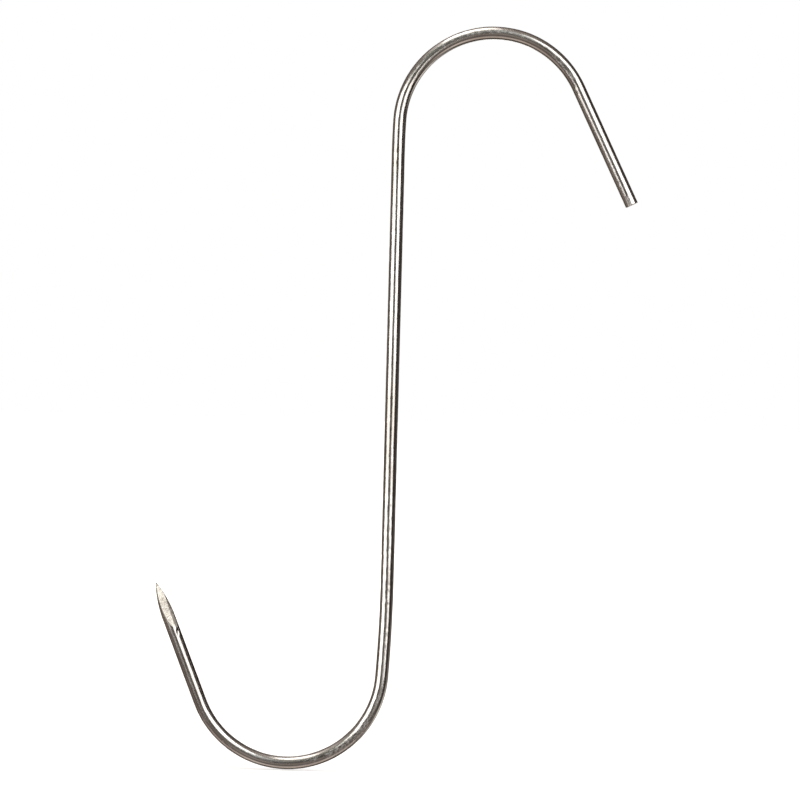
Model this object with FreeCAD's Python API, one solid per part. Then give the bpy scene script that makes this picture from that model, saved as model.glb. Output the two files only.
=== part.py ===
import FreeCAD, Part
import os
from math import sin, cos, radians, sqrt

# Meat hook: one length of round stainless bar, cold bent into an S.
# The upper bend opens to +X and hangs over a rail, its arm left with a blunt
# sheared end. The lower bend opens to -X and ends in a ground point.
# Millimetres. +Z up, the hook lies in the XZ plane, the bar is centred on Y = 0.
# Origin: the crown of the inner surface of the upper bend, where the rail bears.

# ---- driving dimensions ----
BAR_D = 5.0               # bar diameter
BEND_R = 36.0             # centreline radius of both bends (round a 67 mm former)
UPPER_BEND_DEG = 152.0    # turn of the upper bend
LOWER_BEND_DEG = 154.5    # turn of the lower bend
SHANK_STRAIGHT = 165.0    # dead straight length of the shank, along Z
UPPER_LEAD_R = 300.0      # easy curve where the shank runs into the upper bend
UPPER_LEAD_DEG = 2.1
LOWER_LEAD_R = 600.0      # easy curve where the shank runs into the lower bend
LOWER_LEAD_DEG = 3.6
UPPER_ARM = 49.4          # straight arm from the upper bend to the sheared end
POINT_SIDE = 48.9         # straight arm from the lower bend to the tip of the point
POINT_NODE = 19.0         # ground length at the tip, shoulder included
OGIVE_LEN = 14.2          # length over which the bar is ground down to the tip
TIP_R = 0.12              # flat left at the very tip
CUT_CHAMFER = 0.25        # broken edge of the sheared end

R = BAR_D / 2.0
V = FreeCAD.Vector
AXIS_Y = V(0, 1, 0)


def direction(deg):
    return V(cos(radians(deg)), 0, sin(radians(deg)))


def left(deg):
    """Unit vector to the left of a direction of travel in the XZ plane."""
    return V(-sin(radians(deg)), 0, cos(radians(deg)))


def disc(at, deg, r=R):
    """Round face square to the direction of travel."""
    circle = Part.Circle(at, direction(deg), r)
    return Part.Face(Part.Wire([circle.toShape()]))


def straight(at, deg, length):
    solid = disc(at, deg).extrude(direction(deg) * length)
    return solid, at + direction(deg) * length


def bend(at, deg, radius, turn):
    """Bar bent by turn degrees, positive to the left of travel."""
    side = 1.0 if turn > 0 else -1.0
    centre = at + left(deg) * (side * radius)
    # a left turn seen from -Y is a negative rotation about +Y
    solid = disc(at, deg).revolve(centre, AXIS_Y, -turn)
    out = deg + turn
    end = centre - left(out) * (side * radius)
    return solid, end, out, centre


def one_solid(shapes):
    whole = shapes[0].fuse(shapes[1:]).removeSplitter()
    solids = whole.Solids
    assert len(solids) == 1, len(solids)
    return solids[0]


# ---- centreline stations ----
# The upper bend's centre is straight below the origin by the inner radius.
upper_centre = V(0, 0, -(BEND_R - R))
deg_upper_in = 90.0 - UPPER_LEAD_DEG            # travel up the shank, then over to +X
p_upper_in = upper_centre + left(deg_upper_in) * BEND_R
lead_c = p_upper_in - left(deg_upper_in) * UPPER_LEAD_R
p_shank_top = lead_c + left(90.0) * UPPER_LEAD_R
p_shank_bottom = p_shank_top - V(0, 0, SHANK_STRAIGHT)
low_c = p_shank_bottom + left(90.0) * LOWER_LEAD_R
deg_lower_out = 90.0 - LOWER_LEAD_DEG
p_lower_out = low_c - left(deg_lower_out) * LOWER_LEAD_R
lower_centre = p_lower_out + left(deg_lower_out) * BEND_R
deg_point = deg_lower_out - LOWER_BEND_DEG      # travel from the tip into the bend
p_lower_in = lower_centre - left(deg_point) * BEND_R
p_tip = p_lower_in - direction(deg_point) * POINT_SIDE
p_shoulder = p_tip + direction(deg_point) * POINT_NODE

# ---- ground point: an ogive ground down to the tip, with its shoulder ----
rho = (R * R + OGIVE_LEN * OGIVE_LEN) / (2.0 * R)


def ogive(x):
    return sqrt(rho * rho - (OGIVE_LEN - x) ** 2) + R - rho


x_tip = OGIVE_LEN - sqrt(rho * rho - (TIP_R - R + rho) ** 2)   # where the ogive is TIP_R


def local(x, h):
    return p_tip + direction(deg_point) * x + left(deg_point) * h


stretch = OGIVE_LEN / (OGIVE_LEN - x_tip)


def on_ogive(t):
    x = x_tip + t * (OGIVE_LEN - x_tip)
    return local((x - x_tip) * stretch, ogive(x))


point_edges = [
    Part.LineSegment(p_tip, on_ogive(0.0)).toShape(),
    Part.Arc(on_ogive(0.0), on_ogive(0.5), on_ogive(1.0)).toShape(),
    Part.LineSegment(on_ogive(1.0), local(POINT_NODE, R)).toShape(),
    Part.LineSegment(local(POINT_NODE, R), p_shoulder).toShape(),
    Part.LineSegment(p_shoulder, p_tip).toShape(),
]
point_face = Part.Face(Part.Wire(point_edges))
ground_point = point_face.revolve(p_tip, direction(deg_point), 360.0)

# ---- the lengths of the bar, from the point to the sheared end ----
point_arm, _ = straight(p_shoulder, deg_point, POINT_SIDE - POINT_NODE)
lower_bend, end, deg, _ = bend(p_lower_in, deg_point, BEND_R, LOWER_BEND_DEG)
assert (end - p_lower_out).Length < 1e-6

lead_low, end, deg, _ = bend(p_lower_out, deg_lower_out, LOWER_LEAD_R, LOWER_LEAD_DEG)
middle, end = straight(p_shank_bottom, 90.0, SHANK_STRAIGHT)
lead_up, end, deg, _ = bend(p_shank_top, 90.0, UPPER_LEAD_R, -UPPER_LEAD_DEG)
assert (end - p_upper_in).Length < 1e-6
shank = one_solid([lead_low, middle, lead_up])

upper_bend, p_arm, deg_arm, _ = bend(p_upper_in, deg_upper_in, BEND_R, -UPPER_BEND_DEG)

arm_body, p_cut = straight(p_arm, deg_arm, UPPER_ARM)
cut_edges = [e for e in arm_body.Edges
             if (e.CenterOfMass - p_cut).Length < 1e-3 and e.Length > 1.0]
upper_arm = arm_body.makeChamfer(CUT_CHAMFER, cut_edges)

nodes = {
    "ground_point": ground_point,
    "point_arm": point_arm,
    "lower_bend": lower_bend,
    "shank": shank,
    "upper_bend": upper_bend,
    "upper_arm": upper_arm,
}

os.makedirs("parts", exist_ok=True)
total = 0.0
for name, shape in nodes.items():
    solid = shape if shape.ShapeType == "Solid" else shape.Solids[0]
    assert solid.isValid() and len(shape.Solids) == 1, name
    if solid.Volume < 0:
        solid.reverse()
    total += solid.Volume
    solid.exportStep("parts/%s.step" % name)
    print("%-13s volume %9.2f mm3" % (name, solid.Volume))

length = (POINT_SIDE + radians(LOWER_BEND_DEG) * BEND_R + radians(LOWER_LEAD_DEG) * LOWER_LEAD_R
          + SHANK_STRAIGHT + radians(UPPER_LEAD_DEG) * UPPER_LEAD_R
          + radians(UPPER_BEND_DEG) * BEND_R + UPPER_ARM)
print("bar length %.2f mm, full-section volume %.2f, built %.2f"
      % (length, 3.141592653589793 * R * R * length, total))
for label, p in (("tip", p_tip), ("shoulder", p_shoulder), ("lower bend in", p_lower_in),
                 ("lower centre", lower_centre), ("lower bend out", p_lower_out),
                 ("shank bottom", p_shank_bottom), ("shank top", p_shank_top),
                 ("upper bend in", p_upper_in), ("upper centre", upper_centre),
                 ("arm start", p_arm), ("cut end", p_cut)):
    print("%-15s %9.4f %9.4f %9.4f" % (label, p.x, p.y, p.z))
print("point arm direction %.3f deg, upper arm direction %.3f deg" % (deg_point, deg_arm))
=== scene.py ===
import bpy
import math
import numpy as np
from mathutils import Vector, Matrix


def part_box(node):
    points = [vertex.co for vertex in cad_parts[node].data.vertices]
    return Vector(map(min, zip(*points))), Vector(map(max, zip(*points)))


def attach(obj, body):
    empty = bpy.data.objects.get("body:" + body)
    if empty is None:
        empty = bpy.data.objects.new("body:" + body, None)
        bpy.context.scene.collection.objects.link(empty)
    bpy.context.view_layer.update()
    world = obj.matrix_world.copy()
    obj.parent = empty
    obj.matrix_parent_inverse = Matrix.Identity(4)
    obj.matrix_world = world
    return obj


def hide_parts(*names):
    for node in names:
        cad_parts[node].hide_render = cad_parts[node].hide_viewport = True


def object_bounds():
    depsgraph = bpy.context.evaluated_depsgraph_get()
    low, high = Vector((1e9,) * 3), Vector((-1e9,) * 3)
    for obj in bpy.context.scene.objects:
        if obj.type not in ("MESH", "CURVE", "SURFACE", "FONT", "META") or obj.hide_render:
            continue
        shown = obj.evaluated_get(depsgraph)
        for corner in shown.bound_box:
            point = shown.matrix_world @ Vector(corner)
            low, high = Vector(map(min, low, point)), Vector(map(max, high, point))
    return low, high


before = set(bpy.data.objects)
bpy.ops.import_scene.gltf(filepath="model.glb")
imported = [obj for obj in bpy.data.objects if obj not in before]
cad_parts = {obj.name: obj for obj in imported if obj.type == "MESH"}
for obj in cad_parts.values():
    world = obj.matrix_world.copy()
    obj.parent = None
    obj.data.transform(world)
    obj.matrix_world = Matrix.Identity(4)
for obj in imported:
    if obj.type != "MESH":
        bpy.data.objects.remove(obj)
cad_box = [list(v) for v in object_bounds()]

# ------------------------------------------------------------------ the bar
# The same driving dimensions as the CAD part, in millimetres. The hook is one bar.
# s runs along its centreline from the tip of the point to the sheared end, and th runs
# round it: 0 is the left of travel, 90 degrees is the front (-Y), 180 the right of travel.
BAR_R = 2.5
BEND_R = 36.0
SEGMENTS = (                      # (length, curvature), positive turns to the left
    (48.9, 0.0),
    (math.radians(154.5) * BEND_R, 1.0 / BEND_R),
    (math.radians(3.6) * 600.0, 1.0 / 600.0),
    (165.0, 0.0),
    (math.radians(2.1) * 300.0, -1.0 / 300.0),
    (math.radians(152.0) * BEND_R, -1.0 / BEND_R),
    (49.4, 0.0),
)
TIP_AT = (-124.9314, -211.6442)
TIP_DEG = -68.1
OGIVE = 14.2
TIP_R = 0.12
CHAMFER = 0.25
STATIONS = [0.0]
for length_, _k in SEGMENTS:
    STATIONS.append(STATIONS[-1] + length_)
TOTAL = STATIONS[-1]
NODE_SPANS = {
    "ground_point": (0.0, 19.0),
    "point_arm": (19.0, STATIONS[1]),
    "lower_bend": (STATIONS[1], STATIONS[2]),
    "shank": (STATIONS[2], STATIONS[5]),
    "upper_bend": (STATIONS[5], STATIONS[6]),
    "upper_arm": (STATIONS[6], STATIONS[7]),
}


def centreline(s):
    """Centre (x, z) and direction angle of the bar at each s."""
    s = np.asarray(s, float)
    x = np.zeros_like(s)
    z = np.zeros_like(s)
    th = np.zeros_like(s)
    px, pz = TIP_AT
    a = math.radians(TIP_DEG)
    for i, (length, k) in enumerate(SEGMENTS):
        lo, hi = STATIONS[i], STATIONS[i + 1]
        m = (s >= lo - 1e-9) & ((s < hi) if i < len(SEGMENTS) - 1 else True)
        t = s[m] - lo
        if k == 0.0:
            x[m] = px + t * math.cos(a)
            z[m] = pz + t * math.sin(a)
            th[m] = a
            px += length * math.cos(a)
            pz += length * math.sin(a)
        else:
            x[m] = px + (np.sin(a + k * t) - math.sin(a)) / k
            z[m] = pz - (np.cos(a + k * t) - math.cos(a)) / k
            th[m] = a + k * t
            px += (math.sin(a + k * length) - math.sin(a)) / k
            pz -= (math.cos(a + k * length) - math.cos(a)) / k
            a += k * length
    return x, z, th


# ------------------------------------------------------------- smooth noise
def lattice(seed, n=509, m=64):
    return np.random.default_rng(seed).uniform(-1.0, 1.0, (n, m))


T_FINE, T_MID, T_LONG, T_BLOTCH, T_GRAIN, T_GRIND = [lattice(k) for k in (11, 12, 13, 23, 29, 37)]


def noise2(u, v, table, cells):
    """Smooth value noise in -1..1. v wraps every `cells` cells."""
    n = table.shape[0]
    iu = np.floor(u).astype(int)
    iv = np.floor(v).astype(int)
    fu = u - iu
    fv = v - iv
    fu = fu * fu * fu * (fu * (fu * 6 - 15) + 10)
    fv = fv * fv * fv * (fv * (fv * 6 - 15) + 10)

    def at(a, b):
        return table[a % n, b % cells]
    return ((at(iu, iv) * (1 - fu) + at(iu + 1, iv) * fu) * (1 - fv)
            + (at(iu, iv + 1) * (1 - fu) + at(iu + 1, iv + 1) * fu) * fv)


def round_noise(s, th, length, cells, table):
    """Noise over the bar: `length` mm a cell along it, `cells` cells round it."""
    return noise2(s / length, th * cells / (2 * math.pi), table, cells)


def smoothstep(a, b, x):
    t = np.clip((x - a) / (b - a), 0.0, 1.0)
    return t * t * (3 - 2 * t)


def turn(th, deg):
    """Signed angle from deg to th, in radians."""
    return (th - math.radians(deg) + math.pi) % (2 * math.pi) - math.pi


def spot(s, th, s0, deg, half_s, half_deg):
    q = ((s - s0) / half_s) ** 2 + (turn(th, deg) / math.radians(half_deg)) ** 2
    return np.exp(-1.4 * q)


# --------------------------------------------------------- the ground point
RHO = (BAR_R ** 2 + OGIVE ** 2) / (2 * BAR_R)
X_TIP = OGIVE - math.sqrt(RHO ** 2 - (TIP_R - BAR_R + RHO) ** 2)


def ogive(s):
    x = X_TIP + np.clip(s, 0, OGIVE) * (OGIVE - X_TIP) / OGIVE
    return np.sqrt(RHO ** 2 - (OGIVE - x) ** 2) + BAR_R - RHO


# flats left by the grinding wheel: where each faces, and how far out its flat lies as a
# share of the full round at stations along the point
FLATS = (
    (77.0, (0, 0.9, 2.2, 5, 8, 10, 13, 16, 18.4), (1.0, 0.90, 0.64, 0.56, 0.60, 0.67, 0.78, 0.89, 1.0)),
    (42.0, (0, 5, 8, 10, 13, 16, 19.4), (0.99, 0.90, 0.82, 0.79, 0.82, 0.895, 1.0)),
    (146.0, (0, 6, 10, 13, 16, 19.2), (0.94, 0.93, 0.905, 0.90, 0.935, 1.0)),
    (214.0, (0, 6, 11, 14, 17.6), (0.90, 0.89, 0.90, 0.94, 1.0)),
    (268.0, (0, 5, 10, 13, 16.6), (0.72, 0.74, 0.82, 0.90, 1.0)),
    (322.0, (0, 6, 11, 14, 18.0), (0.92, 0.90, 0.91, 0.95, 1.0)),
)


def flats(s, th):
    """Share of the full radius that the grinding leaves, and how much was taken off."""
    out = np.ones_like(s + th)
    for deg, at_s, share in FLATS:
        q = np.interp(s, at_s, share)
        q = q + 0.004 * noise2(s / 1.9, 0 * th, T_GRIND, 5) * (s < at_s[-1])
        c = np.cos(turn(th, deg))
        out = np.where((c > 0.15) & (s < at_s[-1]), np.minimum(out, q / np.maximum(c, 0.15)), out)
    return out


# ------------------------------------------- marks left on the bar by forming and use
# (s, degrees, half length mm, half width degrees, depth mm)
DENTS = (
    (20.6, 55, 1.2, 15, 0.24), (21.9, 64, 0.8, 9, 0.10), (19.4, 40, 1.4, 9, 0.08), (446.5, 96, 5.0, 26, 0.07), (455.0, 128, 3.0, 20, 0.05),
    (137.0, 96, 4.0, 24, 0.05), (118.0, 84, 6.0, 28, 0.04), (97.0, 60, 5.0, 20, 0.03),
    (88.0, 80, 3.5, 16, 0.03), (380.5, 74, 2.6, 16, 0.05), (421.5, 72, 2.4, 14, 0.04),
    (362.0, 250, 5.0, 28, 0.05), (440.0, 262, 6.0, 30, 0.06), (58.0, 276, 6.0, 30, 0.05),
    (146.0, 258, 5.0, 28, 0.05), (230.0, 318, 2.5, 14, 0.03), (291.0, 205, 2.0, 12, 0.03),
)


def radius(s, th):
    full = ogive(s)
    r = full * flats(s, th)
    # the drawn surface is never quite true: long shallow waves and short ripples
    cyl = smoothstep(9.0, 19.0, s)
    cyl = cyl * (1 - 0.45 * smoothstep(452, 462, s))
    r = r + cyl * (RIPPLE * (1.05 + 0.9 * smoothstep(165, 185, s) * (1 - smoothstep(335, 355, s))) * round_noise(s, th, 1.5, 12, T_FINE)
                   + RIPPLE * 1.2 * round_noise(s, th, 6.5, 6, T_MID)
                   + RIPPLE * 1.6 * round_noise(s, th, 31.0, 4, T_LONG))
    for s0, deg, hs, hd, depth in DENTS:
        r = r - depth * spot(s, th, s0, deg, hs, hd)
    # long draw marks on the side of the point arm
    r = r + 0.017 * spot(s, th, 34, 142, 19, 50) * round_noise(s, th, 13.0, 30, T_GRIND) * smoothstep(14, 18, s)
    # wheel marks run across the ground flats
    ground = 1.0 - smoothstep(15.0, 18.0, s)
    r = r + ground * full / BAR_R * 0.010 * noise2(s / 0.42 + 2.2 * np.cos(th), th * 7 / (2 * math.pi), T_GRIND, 7)
    # the arm's end is bruised flat on the front, where it was sheared
    e = smoothstep(TOTAL - 4.6, TOTAL - 0.2, s)
    r = r - 0.12 * e * np.exp(-1.6 * (turn(th, 112) / math.radians(15)) ** 2)
    r = r - 0.10 * e * np.exp(-1.6 * (turn(th, 80) / math.radians(12)) ** 2)
    r = r - 0.07 * e * np.exp(-1.6 * (turn(th, 262) / math.radians(30)) ** 2)
    # broken edge at the sheared end
    edge = TOTAL - s
    c = CHAMFER * (0.75 + 0.45 * noise2(th * 9 / (2 * math.pi), th * 0, T_GRAIN, 9))
    r = r - np.where(edge < c, c - edge, 0.0) * 0.8
    return np.minimum(r, full + 0.004)


RIPPLE = 0.017


def ground_share(s, th):
    """1 where the surface is the satin of the grinding wheel, 0 where it is the drawn bar."""
    taken = 1.0 - flats(s, th)
    edge = 13.4 + 0.9 * round_noise(s, th, 1.2, 9, T_GRIND)
    g = 1.0 - smoothstep(edge - 0.5, edge + 0.9, s)
    g = np.maximum(g, smoothstep(0.001, 0.008, taken))
    feather = spot(s, th, 17.2, 150, 3.0, 42) * (0.5 + 0.5 * round_noise(s, th, 0.7, 15, T_GRAIN))
    return np.clip(np.maximum(g, feather), 0.0, 1.0)


MATTE = (       # rubbed, mottled grey zones: (s, degrees, half length, half width, strength)
    (119.0, 96, 21.0, 40, 1.0), (101.0, 84, 8.0, 28, 0.6), (137.0, 92, 6.0, 26, 0.8),
    (0.0, 90, 1.3, 500, 1.0), (13.5, 40, 8.0, 26, 1.0), (14.5, 146, 5.0, 26, 0.7),
    (405.0, 72, 17.0, 34, 0.62), (424.0, 84, 12.0, 26, 0.42), (447.0, 104, 8.0, 34, 0.8),
    (21.0, 146, 5.0, 34, 0.3), (502.6, 94, 2.6, 20, 1.0), (504.2, 200, 1.4, 60, 0.7),
    (66.0, 118, 14.0, 22, 0.4), (168.0, 78, 8.0, 14, 0.25), (497.0, 100, 6.0, 16, 0.5),
    (112.0, 266, 24.0, 40, 0.8), (410.0, 262, 24.0, 42, 0.8), (60.0, 250, 9.0, 30, 0.5),
    (250.0, 204, 14.0, 20, 0.35), (330.0, 300, 16.0, 22, 0.35), (196.0, 330, 12.0, 16, 0.3),
    (470.0, 290, 12.0, 26, 0.5), (32.0, 262, 10.0, 40, 0.5),
)
STREAKY = (     # bundles of fine lengthwise scratches
    (89.0, 76, 9.0, 38, 1.0), (97.0, 52, 7.0, 20, 0.8), (380.5, 70, 6.0, 34, 1.0),
    (421.5, 70, 5.0, 34, 0.8), (468.0, 96, 22.0, 26, 0.6), (34.0, 116, 16.0, 60, 0.8), (23.0, 138, 9.0, 46, 1.0), (28.0, 150, 12.0, 40, 1.0),
    (55.0, 124, 12.0, 40, 0.6), (240.0, 92, 60.0, 22, 0.45), (492.0, 100, 10.0, 30, 0.6),
    (75.0, 262, 14.0, 44, 0.8), (395.0, 280, 16.0, 44, 0.7), (300.0, 255, 60.0, 40, 0.5),
    (460.0, 240, 16.0, 40, 0.6),
)


def wear(s, th):
    """x: rubbed matte, y: scratched, z: ground."""
    m = np.zeros_like(s + th)
    for s0, deg, hs, hd, k in MATTE:
        m = np.maximum(m, k * spot(s, th, s0, deg, hs, hd))
    b = (0.6 * round_noise(s, th, 1.3, 15, T_BLOTCH) + 0.5 * round_noise(s, th, 3.6, 7, T_GRAIN))
    m = smoothstep(0.16, 0.80, m + 0.34 * b * (m > 0.02))
    y = np.zeros_like(m)
    for s0, deg, hs, hd, k in STREAKY:
        y = np.maximum(y, k * spot(s, th, s0, deg, hs, hd))
    y = np.clip(y + 0.12 + 0.22 * round_noise(s, th, 22.0, 6, T_LONG), 0.0, 1.0)
    return np.stack([m, y, ground_share(s, th)], -1)


def surface(s, th):
    """Point of the bar's surface in millimetres, and its unbent coordinates."""
    x, z, a = centreline(s)
    r = radius(s, th)
    nx, nz = -np.sin(a), np.cos(a)
    c, d = np.cos(th), np.sin(th)
    p = np.stack([x + nx * r * c, -r * d, z + nz * r * c], -1)
    q = np.stack([s, r * c, r * d], -1)
    return p, q


def normals(s, th):
    e_s, e_t = 0.05, 0.02
    lo = np.maximum(s - e_s, 0.0)
    hi = np.minimum(s + e_s, TOTAL)
    ds = surface(hi, th)[0] - surface(lo, th)[0]
    dt = surface(s, th + e_t)[0] - surface(s, th - e_t)[0]
    n = np.cross(ds, dt)
    n /= np.maximum(np.linalg.norm(n, axis=-1, keepdims=True), 1e-12)
    x, z, a = centreline(s)
    out = np.stack([-np.sin(a) * np.cos(th), -np.sin(th), np.cos(a) * np.cos(th)], -1)
    flip = (n * out).sum(-1, keepdims=True) < 0
    return np.where(flip, -n, n)


def end_depth(share, th):
    """How far the sheared face stands in (-) or out (+) along the bar, in millimetres."""
    x, y = share * np.cos(th), share * np.sin(th)
    d = -0.05 * smoothstep(-0.2, 0.5, x * 0.4 + y * 0.9 + 0.1)          # torn half lies lower
    d = d + 0.035 * noise2(x * 4.2 + 20, (y * 4.2) % 32, T_BLOTCH, 32) * (0.5 + 0.5 * (y > -0.2))
    d = d + 0.012 * noise2(x * 11 + 60, (y * 11) % 60, T_GRAIN, 60)
    d = d + 0.05 * smoothstep(0.86, 0.97, share) * np.exp(-1.2 * (turn(th, 205) / 0.6) ** 2)
    return d * (1.0 - smoothstep(0.965, 1.0, share))


def bar_piece(name, lo, hi, step, around):
    fine = min(step, 0.12)
    if name == "upper_arm_bar":                                  # close rings for the cut edge
        ss = np.concatenate([np.arange(lo, hi - 5.0, step), np.arange(hi - 5.0, hi - 0.5, 0.2),
                             np.linspace(hi - 0.5, hi, 9)])
    elif name == "point_arm_bar":                                # close rings at the nick
        ss = np.concatenate([np.linspace(lo, lo + 5.0, 34), np.arange(lo + 5.4, hi - 0.2, step), [hi]])
    else:
        ss = np.linspace(lo, hi, max(2, int(math.ceil((hi - lo) / step))) + 1)
    n = len(ss) - 1
    tt = np.linspace(0, 2 * math.pi, around, endpoint=False)
    S, T = np.meshgrid(ss, tt, indexing="ij")
    P, Q = surface(S, T)
    verts = P.reshape(-1, 3)
    co = Q.reshape(-1, 3)
    wr = wear(S, T).reshape(-1, 3)
    vn = normals(S, T).reshape(-1, 3)
    faces, loops_n = [], []
    for i in range(n):
        for j in range(around):
            k = (j + 1) % around
            f = (i * around + j, i * around + k, (i + 1) * around + k, (i + 1) * around + j)
            faces.append(f)
            loops_n.append([vn[q] for q in f])
    # end faces: rings that shrink to a centre point; the sheared one has its relief
    x, z, a = centreline(np.array([lo, hi]))
    for end, base in ((0, 0), (1, n * around)):
        tang = np.array([math.cos(a[end]), 0.0, math.sin(a[end])])
        side = np.array([-math.sin(a[end]), 0.0, math.cos(a[end])])
        axis = np.array([x[end], 0.0, z[end]])
        sheared = end == 1 and name == "upper_arm_bar"
        shares = np.linspace(1.0, 0.0, 15)[1:-1] if sheared else []
        rim = radius(np.full(around, (lo, hi)[end]), tt)
        ring = np.arange(base, base + around)
        last = np.tile(tang * (1 if end else -1), (around, 1))

        def flat_normal(share):
            if not sheared:
                return np.tile(tang * (1 if end else -1), (around, 1))
            e = 0.03
            g_r = (end_depth(share + e, tt) - end_depth(share - e, tt)) / (2 * e * BAR_R)
            sh = max(share, 0.05)
            g_t = (end_depth(share, tt + e) - end_depth(share, tt - e)) / (2 * e * BAR_R * sh)
            er = np.outer(np.cos(tt), side) + np.outer(np.sin(tt), [0, -1, 0])
            et = np.outer(-np.sin(tt), side) + np.outer(np.cos(tt), [0, -1, 0])
            v = tang - g_r[:, None] * er - g_t[:, None] * et
            return v / np.linalg.norm(v, axis=1, keepdims=True)
        last = flat_normal(0.97)
        for share in shares:
            r = rim * share
            p = (axis + np.outer(r * np.cos(tt), side) + np.outer(r * np.sin(tt), [0, -1, 0])
                 + np.outer(end_depth(share, tt), tang))
            start = len(verts)
            verts = np.vstack([verts, p])
            co = np.vstack([co, np.stack([np.full(around, (lo, hi)[end]) + 0.3, r * np.cos(tt), r * np.sin(tt)], -1)])
            wr = np.vstack([wr, np.tile([0.9, 0.6, 0.0], (around, 1))])
            now = flat_normal(share)
            nxt = np.arange(start, start + around)
            for j in range(around):
                k = (j + 1) % around
                faces.append((ring[j], ring[k], nxt[k], nxt[j]))
                loops_n.append([last[j], last[k], now[k], now[j]])
            ring, last = nxt, now
        c = len(verts)
        d0 = float(end_depth(0.0, 0.0)) if sheared else 0.0
        verts = np.vstack([verts, axis + d0 * tang])
        co = np.vstack([co, [(lo, hi)[end], 0.0, 0.0]])
        wr = np.vstack([wr, [[0.9, 0.6, 0.0]]])
        mid_n = tang * (1 if end else -1)
        for j in range(around):
            k = (j + 1) % around
            if end == 0:
                faces.append((ring[k], ring[j], c))
                loops_n.append([last[k], last[j], mid_n])
            else:
                faces.append((ring[j], ring[k], c))
                loops_n.append([last[j], last[k], mid_n])
    mesh = bpy.data.meshes.new(name)
    mesh.from_pydata((verts / 1000.0).tolist(), [], faces)
    mesh.update()
    att = mesh.attributes.new("bar_co", "FLOAT_VECTOR", "POINT")
    att.data.foreach_set("vector", (co / 1000.0).astype(np.float32).ravel())
    att = mesh.attributes.new("wear", "FLOAT_VECTOR", "POINT")
    att.data.foreach_set("vector", wr.astype(np.float32).ravel())
    for poly in mesh.polygons:
        poly.use_smooth = True
    if mesh.polygons[around * (n // 2)].normal.dot(Vector(vn[around * (n // 2)])) < 0:
        mesh.flip_normals()
        loops_n = [[l[0]] + l[1:][::-1] for l in loops_n]
    mesh.normals_split_custom_set([tuple(v) for l in loops_n for v in l])
    obj = bpy.data.objects.new(name, mesh)
    bpy.context.scene.collection.objects.link(obj)
    return obj


# ---------------------------------------------------------------- materials
def new_material(name):
    m = bpy.data.materials.new(name)
    m.use_nodes = True
    nt = m.node_tree
    nt.nodes.clear()
    out = nt.nodes.new("ShaderNodeOutputMaterial")
    bsdf = nt.nodes.new("ShaderNodeBsdfPrincipled")
    nt.links.new(bsdf.outputs["BSDF"], out.inputs["Surface"])
    return m, nt, bsdf


class Graph:
    """Small helper over one node tree."""

    def __init__(self, nt):
        self.nt = nt

    def put(self, sock, v):
        if isinstance(v, bpy.types.NodeSocket):
            self.nt.links.new(v, sock)
        else:
            sock.default_value = v

    def attribute(self, name):
        n = self.nt.nodes.new("ShaderNodeAttribute")
        n.attribute_name = name
        return n.outputs["Vector"]

    def mapped(self, vec, scale, rot=(0, 0, 0), loc=(0, 0, 0)):
        n = self.nt.nodes.new("ShaderNodeMapping")
        n.inputs["Scale"].default_value = scale
        n.inputs["Rotation"].default_value = rot
        n.inputs["Location"].default_value = loc
        self.nt.links.new(vec, n.inputs["Vector"])
        return n.outputs["Vector"]

    def noise(self, vec, detail=2.0, rough=0.5, distortion=0.0):
        n = self.nt.nodes.new("ShaderNodeTexNoise")
        n.inputs["Scale"].default_value = 1.0
        n.inputs["Detail"].default_value = detail
        n.inputs["Roughness"].default_value = rough
        n.inputs["Distortion"].default_value = distortion
        self.nt.links.new(vec, n.inputs["Vector"])
        return n.outputs["Fac"]

    def math(self, op, a, b=0.0, c=0.0, clamp=False):
        n = self.nt.nodes.new("ShaderNodeMath")
        n.operation = op
        n.use_clamp = clamp
        for i, v in enumerate((a, b, c)):
            if i < len(n.inputs):
                self.put(n.inputs[i], v)
        return n.outputs[0]

    def span(self, v, a, b, c, d, smooth=False):
        n = self.nt.nodes.new("ShaderNodeMapRange")
        n.interpolation_type = "SMOOTHSTEP" if smooth else "LINEAR"
        for k, x in zip(("Value", "From Min", "From Max", "To Min", "To Max"), (v, a, b, c, d)):
            self.put(n.inputs[k], x)
        return n.outputs["Result"]

    def ramp(self, v, stops):
        n = self.nt.nodes.new("ShaderNodeValToRGB")
        e = n.color_ramp.elements
        while len(e) < len(stops):
            e.new(0.5)
        for el, (pos, col) in zip(e, stops):
            el.position = pos
            el.color = (*col, 1.0)
        self.nt.links.new(v, n.inputs["Fac"])
        return n.outputs["Color"]

    def blend(self, f, a, b, mode="MIX"):
        n = self.nt.nodes.new("ShaderNodeMix")
        n.data_type = "RGBA"
        n.blend_type = mode
        self.put(n.inputs[0], f)
        for i, v in ((6, a), (7, b)):
            if isinstance(v, bpy.types.NodeSocket):
                self.nt.links.new(v, n.inputs[i])
            else:
                n.inputs[i].default_value = (*v, 1.0)
        return n.outputs[2]

    def split(self, v):
        n = self.nt.nodes.new("ShaderNodeSeparateXYZ")
        self.nt.links.new(v, n.inputs[0])
        return n.outputs[0], n.outputs[1], n.outputs[2]

    def bump(self, height, distance, strength=1.0, normal=None):
        n = self.nt.nodes.new("ShaderNodeBump")
        n.inputs["Distance"].default_value = distance
        self.put(n.inputs["Strength"], strength)
        self.nt.links.new(height, n.inputs["Height"])
        if normal is not None:
            self.nt.links.new(normal, n.inputs["Normal"])
        return n.outputs["Normal"]


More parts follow.
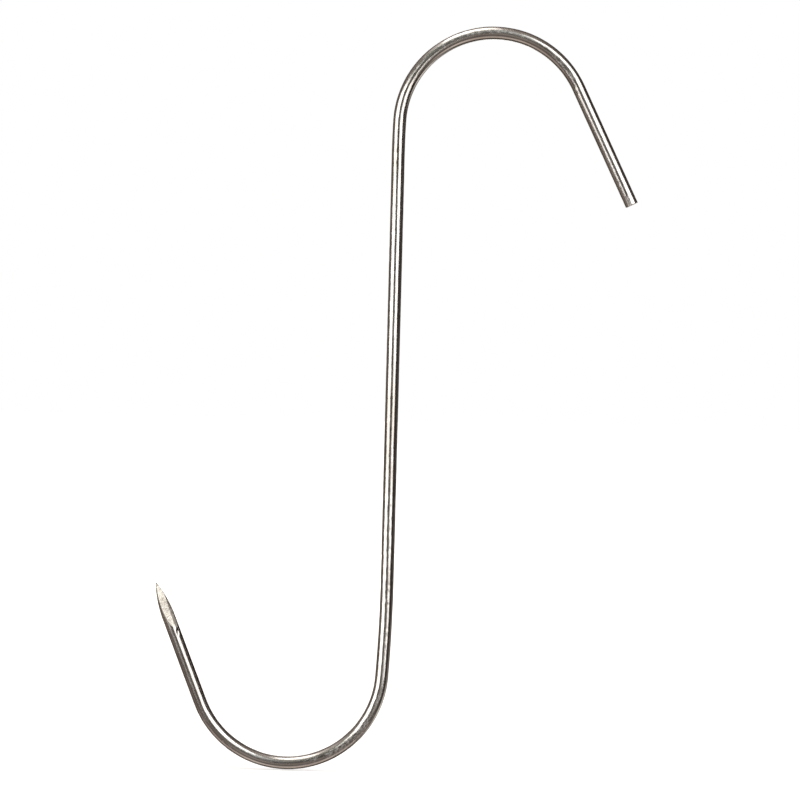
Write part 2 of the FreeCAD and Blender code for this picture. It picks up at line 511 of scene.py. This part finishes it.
def steel(name):
    """Bright drawn stainless bar: lengthwise streaks, rubbed grey zones, fine scratches, and
    the satin cross-scratched finish of the ground point where the wheel has been."""
    m, nt, b = new_material(name)
    g = Graph(nt)
    b.inputs["Metallic"].default_value = 1.0
    co = g.attribute("bar_co")
    matte, scratched, ground = g.split(g.attribute("wear"))

    streak = g.noise(g.mapped(co, (110.0, 2300.0, 2300.0)), 3.0, 0.6)          # draw lines
    hair = g.noise(g.mapped(co, (260.0, 8200.0, 8200.0), loc=(3, 1, 2)), 2.0, 0.6)
    grain = g.noise(g.mapped(co, (760.0, 1500.0, 1500.0), loc=(7, 5, 1)), 4.0, 0.62)
    fleck = g.noise(g.mapped(co, (2300.0, 3300.0, 3300.0), loc=(1, 9, 4)), 3.0, 0.65)
    tint = g.noise(g.mapped(co, (34.0, 240.0, 240.0), loc=(2, 2, 8)), 2.0, 0.5)
    wheel = g.noise(g.mapped(co, (3600.0, 620.0, 620.0), rot=(0, 0, 0.38)), 4.0, 0.6)
    wheel_wide = g.noise(g.mapped(co, (900.0, 330.0, 330.0), rot=(0, 0, -0.3), loc=(4, 4, 4)), 3.0, 0.6)

    # colour
    bright = g.ramp(g.math("ADD", g.math("MULTIPLY", tint, 0.6), g.math("MULTIPLY", streak, 0.4)),
                    [(0.39, (0.500, 0.465, 0.430)), (0.50, (0.665, 0.640, 0.610)), (0.61, (0.760, 0.745, 0.725))])
    pits = g.span(fleck, 0.30, 0.40, 1.0, 0.0, True)
    bright = g.blend(g.math("MULTIPLY", pits, g.span(scratched, 0.1, 1.0, 0.10, 0.45)), bright, (0.30, 0.265, 0.24))
    lines = g.span(streak, 0.47, 0.57, 0.0, 1.0, True)
    bright = g.blend(g.math("MULTIPLY", lines, g.span(scratched, 0.45, 0.95, 0.0, 0.62, True)), bright, (0.24, 0.215, 0.20))
    rubbed = g.ramp(g.math("ADD", g.math("MULTIPLY", grain, 0.55), g.math("MULTIPLY", fleck, 0.45)),
                    [(0.41, (0.33, 0.305, 0.285)), (0.50, (0.585, 0.565, 0.545)), (0.58, (0.84, 0.825, 0.805))])
    satin = g.ramp(g.math("ADD", g.math("MULTIPLY", wheel, 0.6), g.math("MULTIPLY", wheel_wide, 0.4)),
                   [(0.38, (0.54, 0.49, 0.425)), (0.47, (0.80, 0.75, 0.67)), (0.57, (0.93, 0.89, 0.81))])
    colour = g.blend(matte, bright, rubbed)
    satin = g.blend(g.span(g.split(co)[0], 0.0003, 0.0013, 0.82, 0.0, True), satin, (0.20, 0.175, 0.15))   # darker towards the very tip of the point
    colour = g.blend(ground, colour, satin)
    g.put(b.inputs["Base Color"], colour)

    # roughness
    r_bar = g.math("ADD", g.span(streak, 0.35, 0.65, 0.15, 0.23), g.math("MULTIPLY", scratched, g.span(hair, 0.38, 0.62, 0.0, 0.10)))
    r_rub = g.span(grain, 0.36, 0.64, 0.20, 0.40)
    r_sat = g.span(wheel, 0.36, 0.64, 0.22, 0.36)

    def mixv(f, a, c):
        return g.math("ADD", a, g.math("MULTIPLY", f, g.math("SUBTRACT", c, a)))
    r_sat = g.math("ADD", r_sat, g.math("MULTIPLY", matte, 0.24))                 # hazier where the flats fade out
    rough = mixv(ground, mixv(matte, r_bar, r_rub), r_sat)
    g.put(b.inputs["Roughness"], rough)

    # relief
    smooth_part = g.math("SUBTRACT", 1.0, ground)
    h1 = g.math("ADD", g.math("MULTIPLY", streak, 0.75), g.math("MULTIPLY", grain, 0.75))
    n1 = g.bump(h1, 0.0000120, g.math("MULTIPLY", smooth_part, 0.9))
    h2 = g.math("MULTIPLY", hair, g.math("MULTIPLY", scratched, smooth_part))
    n2 = g.bump(h2, 0.0000046, 0.9, n1)
    h3 = g.math("MULTIPLY", fleck, matte)
    n3 = g.bump(h3, 0.0000110, 0.8, n2)
    h4 = g.math("ADD", g.math("MULTIPLY", wheel, 0.8), g.math("MULTIPLY", wheel_wide, 0.8))
    n4 = g.bump(g.math("MULTIPLY", h4, ground), 0.0000130, 0.9, n3)
    g.put(b.inputs["Normal"], n4)
    return m


bright = steel("bright_drawn_stainless")
satin = steel("ground_stainless")

STEPS = {"ground_point": 0.12, "point_arm": 0.4, "lower_bend": 0.36, "shank": 0.4,
         "upper_bend": 0.36, "upper_arm": 0.4}
PIECES = {}
for node, (lo, hi) in NODE_SPANS.items():
    piece = bar_piece(node + "_bar", lo, hi, STEPS[node], 144 if node in ("ground_point", "upper_arm") else 96)
    piece.data.materials.append(satin if node == "ground_point" else bright)
    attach(piece, "root")
    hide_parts(node)
    PIECES[node] = piece
    # the piece has to be where the CAD length is
    c_lo, c_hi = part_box(node)
    at = np.array([v.co for v in piece.data.vertices])
    assert np.abs(at.min(0) - np.array(c_lo)).max() < 0.0006, (node, at.min(0), c_lo)
    assert np.abs(at.max(0) - np.array(c_hi)).max() < 0.0006, (node, at.max(0), c_hi)

# -------------------------------------------------------------------- stage
scene = bpy.context.scene
low = cad_box[0][2]
MID = np.array([-0.033, 0.0, -0.139])

bpy.ops.mesh.primitive_plane_add(size=40.0, location=(MID[0], 0, low - 0.0004))
floor = bpy.context.object
floor.name = "floor"
fm, fnt, fb = new_material("pale_floor")
fg = Graph(fnt)
fb.inputs["Base Color"].default_value = (0.90, 0.90, 0.895, 1)
fb.inputs["Roughness"].default_value = 0.85
fb.inputs["Emission Color"].default_value = (1, 1, 1, 1)
tc = fnt.nodes.new("ShaderNodeTexCoord")
ln = fnt.nodes.new("ShaderNodeVectorMath")
ln.operation = "LENGTH"
fnt.links.new(tc.outputs["Object"], ln.inputs[0])
# the floor is evenly lit: its own glow makes up for the lights falling off with distance
fg.put(fb.inputs["Emission Strength"], fg.span(ln.outputs["Value"], 0.10, 1.3, 0.58, 1.05, True))
floor.data.materials.append(fm)
floor.visible_glossy = False


def soft_panel(name, offset, half_w, half_h, roll, radiance, colour=(1, 1, 1)):
    """A soft box round the hook's middle, facing it, with an even face."""
    off = np.array(offset, float)
    n = -off / np.linalg.norm(off)
    up = np.array([0, 0, 1.0]) if abs(n[2]) < 0.9 else np.array([0, 1.0, 0])
    xa = np.cross(up, n)
    xa /= np.linalg.norm(xa)
    ya = np.cross(n, xa)
    xa, ya = math.cos(roll) * xa + math.sin(roll) * ya, -math.sin(roll) * xa + math.cos(roll) * ya
    d = bpy.data.lights.new(name, "AREA")
    d.shape = "RECTANGLE"
    d.size, d.size_y = 2 * half_w, 2 * half_h
    d.energy = radiance * math.pi * 4 * half_w * half_h
    d.color = colour
    o = bpy.data.objects.new(name, d)
    zz = -n                                   # the light shines along its local -Z
    xx = xa
    yy = np.cross(zz, xx)
    mat = Matrix((Vector(xx), Vector(yy), Vector(zz))).transposed().to_4x4()
    mat.translation = Vector(MID + off)
    o.matrix_world = mat
    o.visible_camera = False
    scene.collection.objects.link(o)
    return o


soft_panel("panel_left", (-1.617, -1.256, 0.266), 0.940, 0.810, -0.012, 2.2, (1, 0.985, 0.96))
soft_panel("panel_right", (1.148, -1.569, 0.649), 0.710, 1.040, 0.288, 2.2, (1, 0.99, 0.975))
soft_panel("panel_top", (-0.393, -0.420, 1.958), 0.512, 0.830, 0.000, 2.1, (1, 0.985, 0.96))
soft_panel("panel_back", (-0.04, 1.75, 0.10), 0.24, 0.80, 0.0, 1.5, (1, 0.985, 0.96))

world = bpy.data.worlds.new("studio")
scene.world = world
world.use_nodes = True
wt = world.node_tree
wn, wl = wt.nodes, wt.links
wn.clear()
wg = Graph(wt)
wo = wn.new("ShaderNodeOutputWorld")
mix = wn.new("ShaderNodeMixShader")
lp = wn.new("ShaderNodeLightPath")
white = wn.new("ShaderNodeBackground")
white.inputs["Color"].default_value = (1, 1, 1, 1)
room = wn.new("ShaderNodeBackground")
wl.new(lp.outputs["Is Camera Ray"], mix.inputs["Fac"])
wl.new(room.outputs["Background"], mix.inputs[1])
wl.new(white.outputs["Background"], mix.inputs[2])
wl.new(mix.outputs["Shader"], wo.inputs["Surface"])
# the dim warm room round the soft boxes: broad patches of tone, by direction
ROOM_BASE = (0.034, 0.025, 0.021)
ROOM = (
    ((-0.32, -0.04, 0.95), 25, (0.63, 0.61, 0.59)),
    ((0.27, -0.80, 0.54), 25, (0.56, 0.57, 0.58)),
    ((0.52, -0.27, -0.81), 25, (0.77, 0.68, 0.62)),
    ((-0.33, -0.17, -0.93), 25, (0.66, 0.57, 0.51)),
    ((-0.70, -0.03, -0.71), 25, (0.64, 0.55, 0.52)),
    ((0.13, -0.09, -0.99), 25, (0.58, 0.49, 0.43)),
    ((0.34, -0.92, -0.20), 25, (0.32, 0.30, 0.28)),
    ((-0.42, 0.21, 0.88), 5, (0.26, 0.22, 0.21)),
    ((-0.12, -0.89, -0.45), 25, (0.23, 0.20, 0.18)),
    ((-0.59, -0.70, -0.40), 25, (0.21, 0.19, 0.19)),
    ((0.10, -0.26, 0.96), 5, (0.17, 0.14, 0.12)),
    ((-0.35, -0.58, 0.73), 5, (0.11, 0.14, 0.12)),
    ((0.09, -0.54, -0.84), 25, (0.11, 0.10, 0.10)),
    ((-0.96, 0.24, -0.12), 5, (0.11, 0.09, 0.07)),
    ((0.80, 0.44, -0.42), 30, (0.95, 0.89, 0.82)),
    ((0.33, 0.85, -0.41), 30, (0.50, 0.47, 0.43)),
    ((-0.25, 0.86, -0.45), 30, (0.38, 0.35, 0.32)),
)
direction = wn.new("ShaderNodeTexCoord").outputs["Generated"]
unit = wn.new("ShaderNodeVectorMath")
unit.operation = "NORMALIZE"
wl.new(direction, unit.inputs[0])
total = None
for d_, k_, c_ in ROOM:
    dot = wn.new("ShaderNodeVectorMath")
    dot.operation = "DOT_PRODUCT"
    wl.new(unit.outputs[0], dot.inputs[0])
    dot.inputs[1].default_value = d_
    e_ = wg.math("EXPONENT", wg.math("MULTIPLY_ADD", dot.outputs["Value"], float(k_), -float(k_)))
    sc = wn.new("ShaderNodeVectorMath")
    sc.operation = "SCALE"
    sc.inputs[0].default_value = c_
    wl.new(e_, sc.inputs["Scale"])
    ad = wn.new("ShaderNodeVectorMath")
    ad.operation = "ADD"
    wl.new(sc.outputs[0], ad.inputs[0])
    if total is None:
        ad.inputs[1].default_value = ROOM_BASE
    else:
        wl.new(total, ad.inputs[1])
    total = ad.outputs[0]
wl.new(total, room.inputs["Color"])

# ------------------------------------------------------------------- camera
CAM_DIST = 1.25
FIELD = 0.30709
ROLL = math.radians(1.495)
cam_data = bpy.data.cameras.new("camera")
cam_data.sensor_width = 36.0
cam_data.lens = 36.0 * CAM_DIST / FIELD
cam_data.clip_end = 50.0
cam = bpy.data.objects.new("camera", cam_data)
right = Vector((math.cos(ROLL), 0, math.sin(ROLL)))
up = Vector((-math.sin(ROLL), 0, math.cos(ROLL)))
back = Vector((0, -1, 0))
centre = Vector((-0.03307, 0.0, -0.13927))
m = Matrix((right, up, back)).transposed().to_4x4()
m.translation = centre + back * CAM_DIST
cam.matrix_world = m
scene.collection.objects.link(cam)
scene.camera = cam

scene.view_settings.view_transform = "Standard"
scene.view_settings.look = "None"
scene.view_settings.exposure = 0.0
scene.view_settings.gamma = 1.0
